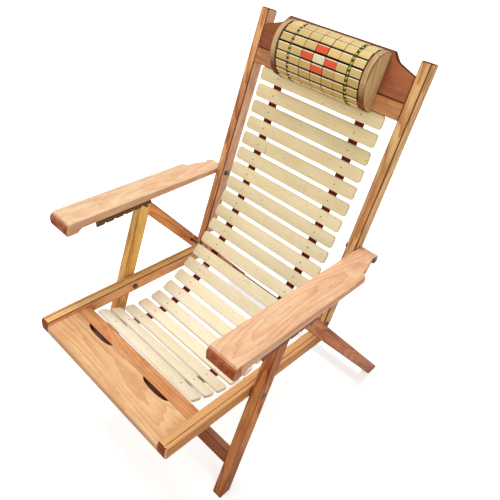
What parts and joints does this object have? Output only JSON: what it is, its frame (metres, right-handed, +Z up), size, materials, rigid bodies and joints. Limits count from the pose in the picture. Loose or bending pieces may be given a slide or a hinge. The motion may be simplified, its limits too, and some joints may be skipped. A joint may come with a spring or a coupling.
{
  "type": "folding recliner",
  "caption": "Folding bamboo lounge chair with a reclining slatted back, head pillow, broad armrests and crossed folding legs.",
  "frame": {"origin": "on the floor, at the centre of the bounding box in plan", "axes": "+Z up, +Y from the footboard towards the back, +X to the sitter's left"},
  "size_m": [0.6712, 0.8107, 1.0023],
  "materials": {
    "frame_wood": "varnished honey-brown bamboo board",
    "slat_bamboo": "pale satin bamboo slat",
    "dark_wood": "reddish stained bamboo board",
    "strap": "dark brown strap",
    "pillow_tile": "polished bamboo tiles on cord",
    "pillow_cap": "oiled brown wood",
    "steel": "dull zinc-plated steel"
  },
  "bodies": {
    "seat_frame": {"seat_rail_left": "frame_wood", "seat_rail_right": "frame_wood", "footboard": "frame_wood", "front_cross_board": "dark_wood", "hook_rod": "steel", "leg_pivot_bolt_left": "steel", "leg_pivot_bolt_right": "steel", "seat_strap_left": "strap", "seat_strap_right": "strap", "seat_slat_1": "slat_bamboo", "seat_slat_2": "slat_bamboo", "seat_slat_3": "slat_bamboo", "seat_slat_4": "slat_bamboo", "seat_slat_5": "slat_bamboo", "seat_slat_6": "slat_bamboo", "seat_slat_7": "slat_bamboo", "seat_slat_8": "slat_bamboo"},
    "rear_pivots": {"back_pivot_bolt_left": "steel", "back_pivot_bolt_right": "steel"},
    "back_frame": {"stile_left": "frame_wood", "stile_right": "frame_wood", "crest_board": "dark_wood", "crest_rail": "frame_wood", "pillow": "pillow_tile", "pillow_cap_left": "pillow_cap", "pillow_cap_right": "pillow_cap", "back_strap_left": "strap", "back_strap_right": "strap", "back_slat_1": "slat_bamboo", "back_slat_2": "slat_bamboo", "back_slat_3": "slat_bamboo", "back_slat_4": "slat_bamboo", "back_slat_5": "slat_bamboo", "back_slat_6": "slat_bamboo", "back_slat_7": "slat_bamboo", "back_slat_8": "slat_bamboo"},
    "lumbar_mat": {"lumbar_slat_1": "slat_bamboo", "lumbar_slat_2": "slat_bamboo", "lumbar_slat_3": "slat_bamboo", "lumbar_slat_4": "slat_bamboo", "lumbar_slat_5": "slat_bamboo", "lumbar_strap_left": "strap", "lumbar_strap_right": "strap"},
    "arm_pivot_left": {"arm_pivot_bolt_left": "steel"},
    "arm_pivot_right": {"arm_pivot_bolt_right": "steel"},
    "armrest_left": {"armrest_left": "frame_wood", "inner_rack_left": "dark_wood", "outer_rack_left": "dark_wood"},
    "armrest_right": {"armrest_right": "frame_wood", "inner_rack_right": "dark_wood", "outer_rack_right": "dark_wood"},
    "front_legs": {"front_leg_left": "frame_wood", "front_leg_right": "frame_wood", "front_stretcher": "frame_wood", "apex_pin_left": "steel", "apex_pin_right": "steel"},
    "rear_legs": {"rear_leg_left": "frame_wood", "rear_leg_right": "frame_wood", "rear_stretcher": "frame_wood"}
  },
  "joints": [
    {"name": "fold", "type": "hinge", "parent": "seat_frame", "child": "rear_pivots", "pos_m": [0, 0.14242, 0.3392], "axis": [1, 0, 0], "range_deg": [0, 105]},
    {"name": "recline", "type": "hinge", "parent": "rear_pivots", "child": "back_frame", "pos_m": [0, 0.14242, 0.3392], "axis": [-1, 0, 0], "range_deg": [0, 33]},
    {"name": "arm_drop_left", "type": "hinge", "parent": "back_frame", "child": "arm_pivot_left", "pos_m": [0, 0.21744, 0.5562], "axis": [1, 0, 0], "range_deg": [0, 21.6]},
    {"name": "arm_drop_right", "type": "hinge", "parent": "back_frame", "child": "arm_pivot_right", "pos_m": [0, 0.21744, 0.5562], "axis": [1, 0, 0], "range_deg": [0, 21.6]},
    {"name": "arm_lift_left", "type": "hinge", "parent": "arm_pivot_left", "child": "armrest_left", "pos_m": [0, 0.21744, 0.5562], "axis": [-1, 0, 0], "range_deg": [0, 106.6]},
    {"name": "arm_lift_right", "type": "hinge", "parent": "arm_pivot_right", "child": "armrest_right", "pos_m": [0, 0.21744, 0.5562], "axis": [-1, 0, 0], "range_deg": [0, 106.6]},
    {"name": "front_leg_fold", "type": "hinge", "parent": "seat_frame", "child": "front_legs", "pos_m": [0, -0.13345, 0.317], "axis": [-1, 0, 0], "range_deg": [0, 62]},
    {"name": "rear_leg_fold", "type": "hinge", "parent": "front_legs", "child": "rear_legs", "pos_m": [0, -0.05108, 0.5433], "axis": [-1, 0, 0], "range_deg": [0, 58.7]},
    {"name": "lumbar_recline", "type": "hinge", "parent": "seat_frame", "child": "lumbar_mat", "pos_m": [0, 0.14242, 0.3392], "axis": [-1, 0, 0], "range_deg": [0, 16.5]}
  ],
  "couplings": [
    {"joint": "arm_drop_left", "follows": "recline", "ratio": 0.651},
    {"joint": "arm_drop_right", "follows": "recline", "ratio": 0.651},
    {"joint": "arm_lift_left", "follows": "fold", "ratio": 1.014},
    {"joint": "arm_lift_right", "follows": "fold", "ratio": 1.014},
    {"joint": "front_leg_fold", "follows": "fold", "ratio": 0.59},
    {"joint": "rear_leg_fold", "follows": "fold", "ratio": 0.558},
    {"joint": "lumbar_recline", "follows": "recline", "ratio": 0.5}
  ]
}
